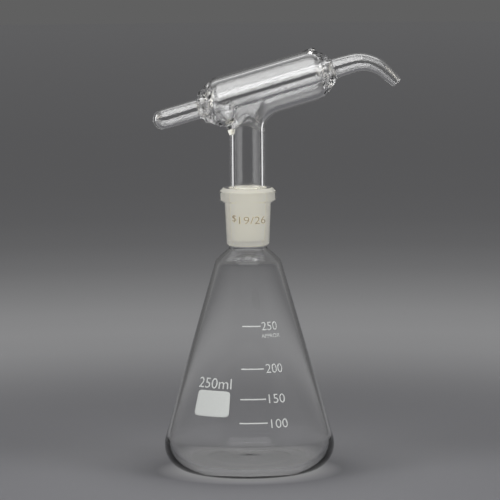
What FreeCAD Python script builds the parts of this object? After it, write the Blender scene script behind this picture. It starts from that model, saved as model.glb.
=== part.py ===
"""Tilt measure flask: a 250 ml conical flask with a 19/26 ground socket, and an all-glass
tilt measure head whose ground cone sits in it.  Millimetres, +Z up, origin at the middle
of the flask's foot.  The head's own frame has its origin where the jacket's axis crosses
the flask's axis, +X along the jacket towards the spout."""

import FreeCAD, Part

import math
import os
import re

import Sketcher
from FreeCAD import Rotation, Vector

SIZES = {
    # the flask
    "FlaskDiameter": 85.0,  # over the heel
    "FlaskHeight": 142.0,  # foot to the socket's rim
    "HeelRadius": 13.0,
    "ShoulderRadius": 16.19,  # where the cone's side meets the shoulder's slope
    "FlaskWall": 1.8,
    "FootThickness": 3.4,
    "PushUpRadius": 22.0,  # the foot's middle is pushed up
    "PushUpHeight": 1.0,
    "ShoulderSlope": 40.0,  # degrees from level
    "NeckRadius": 9.5,
    "NeckBoreRadius": 7.7,
    "NeckHeight": 1.7,  # straight neck below the socket
    # the ground joint, 19/26
    "MouthRadius": 9.4,  # large end of the ground taper
    "TaperRun": 20.0,  # length that takes 1 off the radius, a taper of 1 in 10
    "GroundLength": 26.0,
    "JointClearance": 0.03,  # radial, for the film between the ground faces
    "SocketLength": 28.7,
    "SocketFootRadius": 10.6,
    "SocketNeckRadius": 11.5,
    "BeadRadius": 14.2,
    "BeadHeight": 7.2,
    "BeadChamfer": 2.0,
    "ConeTipWall": 1.5,
    # the stem
    "StemRadius": 8.8,
    "StemBoreRadius": 7.0,
    "StemFootRise": 2.8,  # from the socket's rim to where the plain tube starts
    "CollarDrop": 2.88,  # flared seal below the crossing of stem and jacket at the left
    "CollarFlare": 1.5,
    # the jacket, across the top of the stem
    "JacketRise": 46.4,  # from the socket's rim to where the axes cross
    "JacketTilt": 16.2,  # degrees
    "JacketRadius": 12.6,
    "JacketWall": 2.2,
    "JacketPastArm": 3.9,  # from the filling arm's middle to the plain jacket's left end
    "JacketRight": 37.5,
    "LeftSealLength": 8.6,
    "RightSealLength": 6.7,
    "SealLip": 0.45,  # glass left round the tube at a ring seal's thin end
    "SealInset": 2.6,  # how far a ring seal reaches into the jacket
    # the measuring tube, through both ring seals
    "TubeRadius": 5.0,
    "TubeWall": 1.1,
    "TubeLeft": 48.7,
    "FillHoleRadius": 1.5,
    "FillHolePlace": 6.4,
    "ArmGap": 3.3,  # from the stem's face to the filling arm's middle, along the jacket
    "ArmWideRadius": 4.6,
    "ArmNarrowRadius": 2.0,
    "ArmWall": 1.0,
    "NubRadius": 2.2,
    "NubReach": 3.9,  # past the jacket's outer face
    "VentPlace": 34.6,
    "VentRadius": 0.9,
    "VentRimRadius": 2.5,
    "VentRimRise": 0.5,
    # the spout
    "SpoutRun": 10.0,
    "SpoutBend": 17.0,
    "SpoutTurn": 59.7,  # degrees
    "SpoutDrawRun": 3.4,  # from the bend to where the tip's plain tube starts
    "SpoutTipLength": 5.2,
    "SpoutTipRadius": 2.85,
    "SpoutTipWall": 0.9,
    # the fired enamel
    "EnamelThickness": 0.12,
    "LineWidth": 0.6,
    "NumberHeight": 4.3,
    "JointNumberHeight": 3.4,
    "NoteHeight": 1.8,
}

# Sizes that follow from those above, kept in the same sheet.
FOLLOWING_SIZES = {
    "ShoulderFall": "(ShoulderRadius - NeckRadius) * tan(ShoulderSlope * 1 deg)",
    "ShoulderHeight": "FlaskHeight - SocketLength - NeckHeight - ShoulderFall",
    # from the shoulder's corner to the heel's centre, across and down
    "HeelAcross": "FlaskDiameter / 2 - HeelRadius - ShoulderRadius",
    "HeelDown": "ShoulderHeight - HeelRadius",
    "HeelAway": "sqrt(HeelAcross ^ 2 + HeelDown ^ 2)",
    # degrees from upright of the line from that corner that touches the heel
    "ConeHalfAngle": "(atan(HeelAcross / HeelDown) + asin(HeelRadius / HeelAway)) / 1 deg",
    "ArmPlace": "StemRadius + ArmGap",
    "JacketLeft": "ArmPlace + JacketPastArm",
}

GRADUATIONS = ((250, 75.3), (200, 54.8), (150, 40.3), (100, 28.9))  # ml, height on the cone
LINE_START, LINE_END = -7.2, 13.6  # degrees round the cone from its front
PATCH_START, PATCH_END = -46.4, -15.6
PATCH_FOOT, PATCH_TOP = 31.5, 44.0
CAPACITY_HEIGHT = 47.2  # middle of the capacity figures
NOTE_ANGLE, NOTE_PLACE = 24.4, 70.6  # of the word under the first graduation
JOINT_MARK_HEIGHT = 126.4
PART_FOLDER = "parts"

doc = FreeCAD.newDocument("tilt_measure_flask")
sheet = doc.addObject("Spreadsheet::Sheet", "Sizes")
for row, (name, size) in enumerate(SIZES.items(), start=1):
    sheet.set(f"A{row}", name)
    sheet.set(f"B{row}", str(size))
    sheet.setAlias(f"B{row}", name)
for row, (name, formula) in enumerate(FOLLOWING_SIZES.items(), start=len(SIZES) + 1):
    sheet.set(f"A{row}", name)
    sheet.set(f"B{row}", "=" + formula)
    sheet.setAlias(f"B{row}", name)
doc.recompute()


def sized(formula):
    """A formula of size names as an expression that reads the sheet."""

    def named(word):
        name = word.group(0)
        return "Sizes." + name if name in SIZES or name in FOLLOWING_SIZES else name

    return re.sub(r"[A-Z][A-Za-z]+", named, formula)


def value(formula):
    """What a formula of size names comes to now."""
    return float(sheet.evalExpression(sized(formula)))


# Formulas that several pieces share.
CONE_SLOPE = "tan(ConeHalfAngle * 1 deg)"
CONE_COS = "cos(ConeHalfAngle * 1 deg)"
SLOPE_TAN = "tan(ShoulderSlope * 1 deg)"
SLOPE_COS = "cos(ShoulderSlope * 1 deg)"
# Where the cone's side would meet the table if the heel were sharp.
FOOT_CORNER = "(FlaskDiameter / 2 - HeelRadius + HeelRadius / tan((90 - ConeHalfAngle) / 2 * 1 deg))"
SOCKET_FOOT = "(FlaskHeight - SocketLength)"
STEM_FOOT = "(FlaskHeight + StemFootRise)"
JACKET_HEIGHT = "(FlaskHeight + JacketRise)"
JACKET_BORE = "(JacketRadius - JacketWall)"
# How far below the crossing of the axes the stem's left side meets the jacket's underside.
CROSSING_DROP = "(JacketRadius / cos(JacketTilt * 1 deg) + StemRadius * tan(JacketTilt * 1 deg))"
LEFT_SEAL_END = "(JacketLeft + LeftSealLength)"
RIGHT_SEAL_END = "(JacketRight + RightSealLength)"


def cone_radius(height):
    """The flask's outer radius on its cone, as a formula."""
    return f"({FOOT_CORNER} - ({height}) * {CONE_SLOPE})"


def plane_of(body, role):
    """The body's own origin plane with this role."""
    return next(f for f in body.Origin.OriginFeatures if f.Role == role)


def add_sketch(body, name, role="XZ_Plane"):
    """An empty sketch on one of the body's origin planes."""
    sketch = body.newObject("Sketcher::SketchObject", name)
    sketch.AttachmentSupport = [(plane_of(body, role), "")]
    sketch.MapMode = "FlatFace"
    return sketch


def pin_point(sketch, line, across, up):
    """Holds the start of a sketch line at two distances from the origin, by formula."""
    for kind, formula in (("DistanceX", across), ("DistanceY", up)):
        at = value(formula)
        if abs(at) < 1e-9:
            axis = -2 if kind == "DistanceX" else -1
            sketch.addConstraint(Sketcher.Constraint("PointOnObject", line, 1, axis))
            continue
        number = sketch.addConstraint(Sketcher.Constraint(kind, -1, 1, line, 1, at))
        sketch.setExpression(f"Constraints[{number}]", sized(formula))


def draw_outline(sketch, stations):
    """A closed outline of straight sides through stations given as two formulas each."""
    points = [Vector(value(across), value(up), 0) for across, up in stations]
    count = len(points)
    for here in range(count):
        sketch.addGeometry(Part.LineSegment(points[here], points[(here + 1) % count]))
    for here in range(count):
        following = (here + 1) % count
        sketch.addConstraint(Sketcher.Constraint("Coincident", here, 2, following, 1))
    for here, (across, up) in enumerate(stations):
        pin_point(sketch, here, across, up)


def round_edge(body, station, radius, about_z):
    """Rounds the circle that a station sweeps out, with a radius given as a formula."""
    across, up = (value(formula) for formula in station)
    ring_radius, ring_place = (across, up) if about_z else (up, across)
    names = []
    for number, edge in enumerate(body.Shape.Edges, start=1):
        if not isinstance(edge.Curve, Part.Circle):
            continue
        centre = body.Placement.inverse().multVec(edge.Curve.Center)
        place = centre.z if about_z else centre.x
        if abs(edge.Curve.Radius - ring_radius) < 1e-5 and abs(place - ring_place) < 1e-5:
            names.append(f"Edge{number}")
    before = body.Tip
    rounding = body.newObject("PartDesign::Fillet", "Rounding")
    rounding.Base = (before, names)
    rounding.setExpression("Radius", sized(radius))
    doc.recompute()
    if not names or not rounding.isValid():
        raise RuntimeError(f"{body.Label}: no rounding of {value(radius)} at {across:.2f}, {up:.2f}")


def turned(label, stations, roundings=(), about_z=True, angle=None):
    """A body turned from an outline: about Z, or about the head's own X axis.
    roundings are pairs of a station's number and a radius formula."""
    body = doc.addObject("PartDesign::Body", label)
    body.Label = label
    sketch = add_sketch(body, "Outline")
    draw_outline(sketch, stations)
    turn = body.newObject("PartDesign::Revolution", "Turn")
    turn.Profile = sketch
    turn.ReferenceAxis = (sketch, ["V_Axis" if about_z else "H_Axis"])
    turn.Angle = 360 if angle is None else angle
    doc.recompute()
    for number, radius in roundings:
        round_edge(body, stations[number], radius, about_z)
    return body


def place_on_head(piece):
    """Gives a piece the head's frame: raised on the stem and tipped up towards the spout."""
    piece.Placement = FreeCAD.Placement(Vector(), Rotation(Vector(0, -1, 0), 0))
    piece.setExpression("Placement.Base.z", sized(JACKET_HEIGHT))
    piece.setExpression("Placement.Rotation.Axis.x", "0")
    piece.setExpression("Placement.Rotation.Axis.y", "-1")
    piece.setExpression("Placement.Rotation.Axis.z", "0")
    piece.setExpression("Placement.Rotation.Angle", sized("JacketTilt * 1 deg"))


def drill(body, name, place, radius, depth, upwards):
    """A round hole across a head piece, from its axis up or down through one wall."""
    before = body.Shape.Volume
    sketch = add_sketch(body, name + "_circle", "XY_Plane")
    across = value(place)
    sketch.addGeometry(Part.Circle(Vector(across, 0, 0), Vector(0, 0, 1), value(radius)))
    number = sketch.addConstraint(Sketcher.Constraint("DistanceX", -1, 1, 0, 3, across))
    sketch.setExpression(f"Constraints[{number}]", sized(place))
    sketch.addConstraint(Sketcher.Constraint("PointOnObject", 0, 3, -1))
    number = sketch.addConstraint(Sketcher.Constraint("Radius", 0, value(radius)))
    sketch.setExpression(f"Constraints[{number}]", sized(radius))
    hole = body.newObject("PartDesign::Pocket", name)
    hole.Profile = sketch
    hole.setExpression("Length", sized(depth))
    hole.Reversed = upwards
    doc.recompute()
    if body.Shape.Volume >= before - 1e-6:
        raise RuntimeError(f"{name} cut nothing")


def cylinder(name, radius, length, foot=None):
    """A plain cylinder bound to formulas; foot is its lower end's height on the Z axis."""
    piece = doc.addObject("Part::Cylinder", name)
    piece.setExpression("Radius", sized(radius))
    piece.setExpression("Height", sized(length))
    if foot is not None:
        piece.setExpression("Placement.Base.z", sized(foot))
    return piece


def cut(label, base, *tools):
    """base less each tool, as one labelled object."""
    piece = base
    for number, tool in enumerate(tools, start=1):
        trimmed = doc.addObject("Part::Cut", f"{label}_cut{number}")
        trimmed.Base = piece
        trimmed.Tool = tool
        piece = trimmed
    piece.Label = label
    doc.recompute()
    return piece


# --- the flask -----------------------------------------------------------------------


def make_flask_body():
    """The blown flask: pushed-up foot, rounded heel, cone, shoulder and short neck."""
    neck_foot = f"({SOCKET_FOOT} - NeckHeight)"
    fall = f"{SLOPE_TAN} * {CONE_SLOPE}"
    outer_reach = f"({FOOT_CORNER} - ({neck_foot} + NeckRadius * {SLOPE_TAN}) * {CONE_SLOPE})"
    outer_shoulder = f"({outer_reach} / (1 - {fall}))"
    outer_height = f"({neck_foot} - ({outer_shoulder} - NeckRadius) * {SLOPE_TAN})"
    bore_foot = f"({neck_foot} + (NeckRadius - NeckBoreRadius) * {SLOPE_TAN} - FlaskWall / {SLOPE_COS})"
    inner_corner = f"({FOOT_CORNER} - FlaskWall / {CONE_COS})"
    inner_reach = f"({inner_corner} - ({bore_foot} + NeckBoreRadius * {SLOPE_TAN}) * {CONE_SLOPE})"
    inner_shoulder = f"({inner_reach} / (1 - {fall}))"
    inner_height = f"({bore_foot} - ({inner_shoulder} - NeckBoreRadius) * {SLOPE_TAN})"
    stations = (
        ("0", "PushUpHeight"),
        ("PushUpRadius", "0"),
        (FOOT_CORNER, "0"),
        (outer_shoulder, outer_height),
        ("NeckRadius", neck_foot),
        ("NeckRadius", SOCKET_FOOT),
        ("NeckBoreRadius", SOCKET_FOOT),
        ("NeckBoreRadius", bore_foot),
        (inner_shoulder, inner_height),
        (f"({inner_corner} - FootThickness * {CONE_SLOPE})", "FootThickness"),
        ("0", "FootThickness + PushUpHeight"),
    )
    roundings = ((2, "HeelRadius"), (9, "HeelRadius - FlaskWall"), (3, "5"), (8, "4"), (4, "1"))
    return turned("flask_body", stations, roundings)


def make_ground_socket():
    """The socket: a thick tube with a bead at its rim and a ground taper inside."""
    taper_end = f"(MouthRadius - GroundLength / TaperRun)"
    stations = (
        ("NeckBoreRadius", SOCKET_FOOT),
        ("SocketFootRadius", SOCKET_FOOT),
        ("SocketNeckRadius", "FlaskHeight - BeadHeight"),
        ("BeadRadius - BeadChamfer", "FlaskHeight - BeadHeight"),
        ("BeadRadius", "FlaskHeight - BeadHeight + BeadChamfer / 2"),
        ("BeadRadius", "FlaskHeight - BeadChamfer"),
        ("BeadRadius - BeadChamfer", "FlaskHeight"),
        ("MouthRadius", "FlaskHeight"),
        (taper_end, "FlaskHeight - GroundLength"),
        ("NeckBoreRadius", "FlaskHeight - GroundLength - 1"),
    )
    return turned("ground_socket", stations, ((1, "0.8"), (5, "0.6")))


# --- fired enamel on the glass -------------------------------------------------------


def enamel_field(name, foot, top, start, end):
    """A thin field of enamel on the cone between two heights and two angles."""
    stations = (
        (cone_radius(foot), foot),
        (f"{cone_radius(foot)} + EnamelThickness", foot),
        (f"{cone_radius(top)} + EnamelThickness", top),
        (cone_radius(top), top),
    )
    body = turned(name, stations, angle=end - start)
    # the sweep starts on +X; the flask's front is -Y, and angles run anticlockwise from it
    middle = body.Shape.CenterOfMass
    swept_to = math.degrees(math.atan2(middle.y, middle.x))
    wanted = -90 + (start + end) / 2
    body.Placement = FreeCAD.Placement(Vector(), Rotation(Vector(0, 0, 1), wanted - swept_to))
    return body


def make_graduation_lines():
    """One short line at each graduation."""
    fields = [
        enamel_field(f"line_{amount}", f"{z} - LineWidth / 2", f"{z} + LineWidth / 2", LINE_START, LINE_END)
        for amount, z in GRADUATIONS
    ]
    lines = doc.addObject("Part::Compound", "graduation_lines_group")
    lines.Links = fields
    lines.Label = "graduation_lines"
    return lines


# Strokes of the figures and letters on a grid 1 wide and 1 high: x, y of both ends.
STROKES = {
    "top": (0, 1, 1, 1),
    "middle": (0, 0.5, 1, 0.5),
    "foot": (0, 0, 1, 0),
    "upper left": (0, 0.5, 0, 1),
    "upper right": (1, 0.5, 1, 1),
    "lower left": (0, 0, 0, 0.5),
    "lower right": (1, 0, 1, 0.5),
    "slash": (0, 0, 1, 1),
    "left half": (0, 0, 0, 0.6),
    "middle half": (0.5, 0, 0.5, 0.6),
    "right half": (1, 0, 1, 0.6),
    "bar": (0, 0.65, 1, 0.65),
    "post": (0.5, 0, 0.5, 1),
    "leg": (0.2, 0.5, 1, 0),
    "backslash": (0, 1, 1, 0),
}
FIGURES = {
    "0": ("top", "foot", "upper left", "upper right", "lower left", "lower right"),
    "1": ("post",),
    "2": ("top", "upper right", "middle", "lower left", "foot"),
    "5": ("top", "upper left", "middle", "lower right", "foot"),
    "6": ("top", "upper left", "middle", "lower left", "lower right", "foot"),
    "9": ("top", "upper left", "upper right", "middle", "lower right", "foot"),
    "/": ("slash",),
    "m": ("left half", "middle half", "right half", "bar"),
    "l": ("post",),
    "A": ("top", "middle", "upper left", "upper right", "lower left", "lower right"),
    "P": ("top", "middle", "upper left", "upper right", "lower left"),
    "R": ("top", "middle", "upper left", "upper right", "lower left", "leg"),
    "O": ("top", "foot", "upper left", "upper right", "lower left", "lower right"),
    "X": ("slash", "backslash"),
}
FIGURE_WIDTH = 0.5  # of its height
FIGURE_PITCH = 0.68
STROKE_WIDTH = 0.09
STROKE_GAP = 0.08


def enamel_skin(foot, top):
    """The layer that a figure's strokes are cut from: inner and outer radius at two heights."""
    layer = value("EnamelThickness")
    height = top[1] - foot[1]
    outer = Part.makeCone(foot[0] + layer, top[0] + layer, height, Vector(0, 0, foot[1]))
    return outer.cut(Part.makeCone(foot[0], top[0], height, Vector(0, 0, foot[1])))


def stroke_solid(skin, radius, angle, height, size, stroke):
    """One stroke of a figure that stands at an angle and a height on the glass."""
    x0, y0, x1, y1 = stroke
    start = Vector((x0 - 0.5) * FIGURE_WIDTH * size, 0, (y0 - 0.5) * size)
    end = Vector((x1 - 0.5) * FIGURE_WIDTH * size, 0, (y1 - 0.5) * size)
    along = end - start
    length = along.Length - 2 * STROKE_GAP * size
    width = STROKE_WIDTH * size
    bar = Part.makeBox(length, 2 * radius / 3, width, Vector(-length / 2, -radius / 3, -width / 2))
    bar.rotate(Vector(), Vector(0, -1, 0), math.degrees(math.atan2(along.z, along.x)))
    bar.translate((start + end) * 0.5 + Vector(0, -radius, height))
    bar.rotate(Vector(), Vector(0, 0, 1), angle)
    return skin.common(bar)


def make_figures(label, texts, radius_at):
    """Figures as thin enamel.  texts are (text, angle of its middle, height, size)."""
    solids = []
    for text, angle, height, size in texts:
        foot, top = height - size, height + size
        skin = enamel_skin((radius_at(foot), foot), (radius_at(top), top))
        radius = radius_at(height)
        pitch = math.degrees(FIGURE_PITCH * size / radius)
        for place, figure in enumerate(text):
            at = angle + (place - (len(text) - 1) / 2) * pitch
            for stroke in FIGURES[figure]:
                solids += stroke_solid(skin, radius, at, height, size, STROKES[stroke]).Solids
    piece = doc.addObject("Part::Feature", label)
    piece.Shape = Part.makeCompound(solids)
    piece.Label = label
    return piece


def flask_radius_at(height):
    """The flask's outer radius at a height on its cone."""
    return value(cone_radius(str(height)))


def socket_radius_at(height):
    """The socket's outer radius at a height below its bead."""
    foot, top = value(SOCKET_FOOT), value("FlaskHeight - BeadHeight")
    share = (height - foot) / (top - foot)
    return value("SocketFootRadius") + share * value("SocketNeckRadius - SocketFootRadius")


def make_enamel():
    """Every mark on the flask and its socket."""
    number_height = value("NumberHeight")
    numbers = []
    for amount, height in GRADUATIONS:
        half_width = math.degrees(1.3 * number_height / flask_radius_at(height) / 1.2)
        numbers.append((str(amount), LINE_END + half_width, height, number_height))
    patch_middle = (PATCH_START + PATCH_END) / 2
    return [
        make_graduation_lines(),
        make_figures("graduation_numbers", numbers, flask_radius_at),
        make_figures(
            "capacity_mark", [("250ml", patch_middle, CAPACITY_HEIGHT, number_height)], flask_radius_at
        ),
        make_figures(
            "approx_mark", [("APPROX", NOTE_ANGLE, NOTE_PLACE, value("NoteHeight"))], flask_radius_at
        ),
        enamel_field("marking_patch", str(PATCH_FOOT), str(PATCH_TOP), PATCH_START, PATCH_END),
        make_figures(
            "joint_size_mark", [("19/26", 0, JOINT_MARK_HEIGHT, value("JointNumberHeight"))], socket_radius_at
        ),
    ]


# --- the head ------------------------------------------------------------------------


def make_ground_cone():
    """The hollow ground cone that seats in the socket and carries the stem."""
    tip_radius = "(MouthRadius - JointClearance - GroundLength / TaperRun)"
    stations = (
        (f"{tip_radius} - ConeTipWall", "FlaskHeight - GroundLength"),
        (tip_radius, "FlaskHeight - GroundLength"),
        ("MouthRadius - JointClearance", "FlaskHeight"),
        ("MouthRadius - JointClearance", "FlaskHeight + StemFootRise / 3"),
        ("StemRadius", STEM_FOOT),
        ("StemBoreRadius", STEM_FOOT),
        ("StemBoreRadius", "FlaskHeight"),
    )
    return turned("ground_cone", stations, ((1, "0.5"),))


def jacket_stations():
    """The jacket's plain tube."""
    return (
        ("-JacketLeft", JACKET_BORE),
        ("-JacketLeft", "JacketRadius"),
        ("JacketRight", "JacketRadius"),
        ("JacketRight", JACKET_BORE),
    )


def ring_seal_stations(side, jacket_end, seal_end):
    """A ring seal: the jacket's end drawn down on to the tube.  side is 1 or -1."""
    inset = f"({jacket_end} + SealInset)"
    shares = (
        (jacket_end, JACKET_BORE),
        (jacket_end, "JacketRadius"),
        (f"({jacket_end} + 1.2)", "JacketRadius"),
        (seal_end, "TubeRadius + SealLip"),
        (seal_end, "TubeRadius"),
        (inset, "TubeRadius"),
        (inset, "JacketRadius - JacketWall - 3"),
    )
    return tuple((f"{side} * ({along})", out) for along, out in shares)


def make_measuring_tube():
    """The through tube: closed and rounded at the left, open into the spout at the right."""
    bore = "(TubeRadius - TubeWall)"
    stations = (
        ("-TubeLeft", "0"),
        ("-TubeLeft", "TubeRadius"),
        (RIGHT_SEAL_END, "TubeRadius"),
        (RIGHT_SEAL_END, bore),
        ("-(TubeLeft - TubeWall * 1.5)", bore),
        ("-(TubeLeft - TubeWall * 1.5)", "0"),
    )
    tube = turned(
        "measuring_tube", stations, ((1, "TubeRadius * 0.92"), (4, "TubeRadius * 0.7")), about_z=False
    )
    drill(tube, "fill_hole", "-FillHolePlace", "FillHoleRadius", "TubeRadius + 1", upwards=True)
    drill(tube, "arm_hole", "-ArmPlace", "ArmWideRadius - ArmWall - 0.6", "TubeRadius + 1", upwards=False)
    place_on_head(tube)
    return tube


def make_filling_arm():
    """The drawn-down side arm under the tube: a hollow cone whose tip meets the wall."""
    top = "-TubeRadius * 0.5"
    foot = f"-({JACKET_BORE} + 0.3)"
    stations = (
        ("ArmWideRadius - ArmWall", top),
        ("ArmWideRadius", top),
        ("ArmNarrowRadius", foot),
        ("0", foot),
        ("0", f"{foot} + ArmWall"),
        ("ArmNarrowRadius - ArmWall + 0.3", f"{foot} + ArmWall"),
    )
    return turned("arm_blank", stations)


def on_head_across(blank, place, label):
    """Moves a piece turned about Z to its place along the jacket, square to its axis."""
    blank.Placement = FreeCAD.Placement(Vector(), Rotation(Vector(0, -1, 0), 0))
    blank.setExpression("Placement.Base.x", sized(f"({place}) * cos(JacketTilt * 1 deg)"))
    blank.setExpression("Placement.Base.z", sized(f"{JACKET_HEIGHT} + ({place}) * sin(JacketTilt * 1 deg)"))
    blank.setExpression("Placement.Rotation.Axis.x", "0")
    blank.setExpression("Placement.Rotation.Axis.y", "-1")
    blank.setExpression("Placement.Rotation.Axis.z", "0")
    blank.setExpression("Placement.Rotation.Angle", sized("JacketTilt * 1 deg"))
    blank.Label = label
    doc.recompute()
    return blank


def along_jacket(name, radius, start, end):
    """A plain cylinder on the jacket's axis between two places."""
    stations = ((start, "0"), (start, radius), (end, radius), (end, "0"))
    piece = turned(name, stations, about_z=False)
    place_on_head(piece)
    return piece


def make_spout():
    """The spout: the tube drawn down along a straight run, one bend and a straight tip."""
    start = Vector(value(RIGHT_SEAL_END), 0, 0)
    ahead = Vector(1, 0, 0)
    bend_start = start + ahead * value("SpoutRun")
    bend = value("SpoutBend")
    turn = math.radians(value("SpoutTurn"))
    centre = bend_start - Vector(0, 0, bend)

    def on_bend(angle):
        return centre + Vector(math.sin(angle), 0, math.cos(angle)) * bend

    leaving = Vector(math.cos(turn), 0, -math.sin(turn))
    bend_end = on_bend(turn)
    tip_start = bend_end + leaving * value("SpoutDrawRun")
    path = Part.Wire(
        [
            Part.LineSegment(start, bend_start).toShape(),
            Part.Arc(bend_start, on_bend(turn / 2), bend_end).toShape(),
            Part.LineSegment(bend_end, tip_start).toShape(),
        ]
    )

    def drawn_tube(first, last):
        """A solid along the path whose radius goes from first to last, with its plain tip."""
        rings = [
            Part.Wire([Part.makeCircle(first, start, ahead)]),
            Part.Wire([Part.makeCircle(first * 0.95 + last * 0.05, bend_start, ahead)]),
            Part.Wire([Part.makeCircle(first * 0.3 + last * 0.7, bend_end, leaving)]),
            Part.Wire([Part.makeCircle(last, tip_start, leaving)]),
        ]
        shell = Part.BRepOffsetAPI.MakePipeShell(path)
        for ring in rings:
            shell.add(ring)
        shell.build()
        shell.makeSolid()
        return shell.shape().fuse(Part.makeCylinder(last, value("SpoutTipLength"), tip_start, leaving))

    outside = drawn_tube(value("TubeRadius"), value("SpoutTipRadius"))
    inside = drawn_tube(value("TubeRadius - TubeWall"), value("SpoutTipRadius - SpoutTipWall"))
    piece = doc.addObject("Part::Feature", "spout")
    piece.Shape = outside.cut(inside)
    piece.Label = "spout"
    place_on_head(piece)
    doc.recompute()
    return piece


def make_head():
    """Every piece of the head above its ground cone."""
    jacket_solid = along_jacket("jacket_solid", "JacketRadius", "-JacketLeft - 40", "JacketRight + 40")
    tube_solid = along_jacket("tube_solid", "TubeRadius", "-JacketLeft", "JacketRight")
    stem_height = f"{JACKET_HEIGHT} - {STEM_FOOT}"
    stem_solid = cylinder("stem_solid", "StemRadius", stem_height, STEM_FOOT)
    stem_bore = cylinder("stem_bore", "StemBoreRadius", stem_height, STEM_FOOT)

    nub_stations = (
        ("0", "-(JacketRadius - JacketWall / 2)"),
        ("NubRadius", "-(JacketRadius - JacketWall / 2)"),
        ("NubRadius", "-(JacketRadius + NubReach)"),
        ("0", "-(JacketRadius + NubReach)"),
    )
    nub_blank = turned("nub_blank", nub_stations, ((2, "NubRadius * 0.4"),))
    on_head_across(nub_blank, "-ArmPlace", "nub_blank")
    nub = cut("support_nub", nub_blank, stem_bore)

    jacket_tube = turned("jacket_tube", jacket_stations(), about_z=False)
    drill(jacket_tube, "vent_hole", "VentPlace", "VentRadius", "JacketRadius + 1", upwards=True)
    place_on_head(jacket_tube)
    jacket = cut("jacket", jacket_tube, stem_bore, nub_blank)
    stem = cut("stem_tube", stem_solid, stem_bore, jacket_solid, nub_blank)

    collar_blank = doc.addObject("Part::Cone", "collar_blank")
    collar_blank.setExpression("Radius1", sized("StemRadius + 0.1"))
    collar_blank.setExpression("Radius2", sized("StemRadius + CollarFlare"))
    side_drop = "sqrt(JacketRadius ^ 2 - (StemRadius + CollarFlare) ^ 2) / cos(JacketTilt * 1 deg)"
    collar_blank.setExpression("Height", sized(f"{CROSSING_DROP} + CollarDrop - {side_drop}"))
    collar_blank.setExpression("Placement.Base.z", sized(f"{JACKET_HEIGHT} - {CROSSING_DROP} - CollarDrop"))
    stem_core = cylinder("stem_core", "StemRadius", stem_height, STEM_FOOT)
    collar = cut("stem_collar", collar_blank, stem_core, jacket_solid, nub_blank)

    tube = make_measuring_tube()
    left = turned(
        "left_ring_seal", ring_seal_stations(-1, "JacketLeft", LEFT_SEAL_END), ((2, "2.4"),), about_z=False
    )
    place_on_head(left)
    right = turned(
        "right_ring_seal", ring_seal_stations(1, "JacketRight", RIGHT_SEAL_END), ((2, "2"),), about_z=False
    )
    place_on_head(right)

    arm_blank = on_head_across(make_filling_arm(), "-ArmPlace", "arm_blank")
    arm_in_bore = doc.addObject("Part::Common", "arm_in_bore")
    arm_in_bore.Base = arm_blank
    arm_in_bore.Tool = along_jacket("jacket_bore", JACKET_BORE, "-JacketLeft", "JacketRight")
    arm = cut("filling_arm", arm_in_bore, tube_solid)

    rim_stations = (
        ("VentRadius", "JacketRadius - 1"),
        ("VentRimRadius", "JacketRadius - 1"),
        ("VentRimRadius", "JacketRadius + VentRimRise"),
        ("VentRadius", "JacketRadius + VentRimRise"),
    )
    rim_blank = on_head_across(turned("rim_blank", rim_stations, ((2, "VentRimRise * 0.8"),)), "VentPlace", "rim_blank")
    rim = cut("vent_rim", rim_blank, jacket_solid)
    return [jacket, stem, collar, nub, tube, left, right, arm, rim, make_spout()]


def main():
    """Builds every piece, tests it and writes it under its label."""
    pieces = [make_flask_body(), make_ground_socket(), *make_enamel(), make_ground_cone(), *make_head()]
    doc.recompute()
    faults = [o.Label for o in doc.Objects if {"Invalid", "Error"} & set(o.State)]
    for piece in pieces:
        if piece.Shape.isNull() or not piece.Shape.isValid() or not piece.Shape.Solids:
            faults.append(piece.Label)
    if faults:
        raise RuntimeError(f"these failed: {faults}")
    os.makedirs(PART_FOLDER, exist_ok=True)
    for piece in pieces:
        piece.Shape.exportStep(os.path.join(PART_FOLDER, piece.Label + ".step"))
        box = piece.Shape.BoundBox
        print(f"{piece.Label}: {len(piece.Shape.Solids)} solid(s), {piece.Shape.Volume:.1f} mm3,",
              f"z {box.ZMin:.1f} to {box.ZMax:.1f}, x {box.XMin:.1f} to {box.XMax:.1f}")


main()
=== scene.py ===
"""The looks of a tilt measure flask: a conical flask of blown borosilicate glass with a
ground socket, and the all-glass measuring head whose ground cone stands in it.

Sizes in the classes are millimetres in the CAD's own frame, whose origin is the middle of
the flask's foot with +Z up; meshes are written in metres.  The head has a frame of its
own: u runs along the jacket towards the spout, v across it and up, and its origin is
where the jacket's axis crosses the flask's.
"""

import logging
import math
from dataclasses import dataclass
from enum import Enum
from typing import Callable, Dict, List, Optional, Sequence, Tuple

import bmesh
import bpy
import numpy as np
from mathutils import Matrix, Vector

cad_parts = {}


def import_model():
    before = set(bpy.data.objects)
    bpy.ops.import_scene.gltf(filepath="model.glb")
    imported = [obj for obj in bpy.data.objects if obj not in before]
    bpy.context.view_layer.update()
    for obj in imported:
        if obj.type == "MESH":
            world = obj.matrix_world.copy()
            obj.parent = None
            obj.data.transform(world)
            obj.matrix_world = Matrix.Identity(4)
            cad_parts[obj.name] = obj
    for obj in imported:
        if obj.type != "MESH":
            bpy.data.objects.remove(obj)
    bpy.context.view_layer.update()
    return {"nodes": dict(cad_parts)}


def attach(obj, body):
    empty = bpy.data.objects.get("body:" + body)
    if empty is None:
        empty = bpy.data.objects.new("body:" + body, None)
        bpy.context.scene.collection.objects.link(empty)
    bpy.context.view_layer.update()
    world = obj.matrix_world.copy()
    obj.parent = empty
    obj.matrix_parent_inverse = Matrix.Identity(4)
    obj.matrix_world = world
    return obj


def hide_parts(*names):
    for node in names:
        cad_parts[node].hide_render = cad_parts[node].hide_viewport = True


LOG = logging.getLogger("tilt_measure_flask")
MM = 0.001


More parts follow.
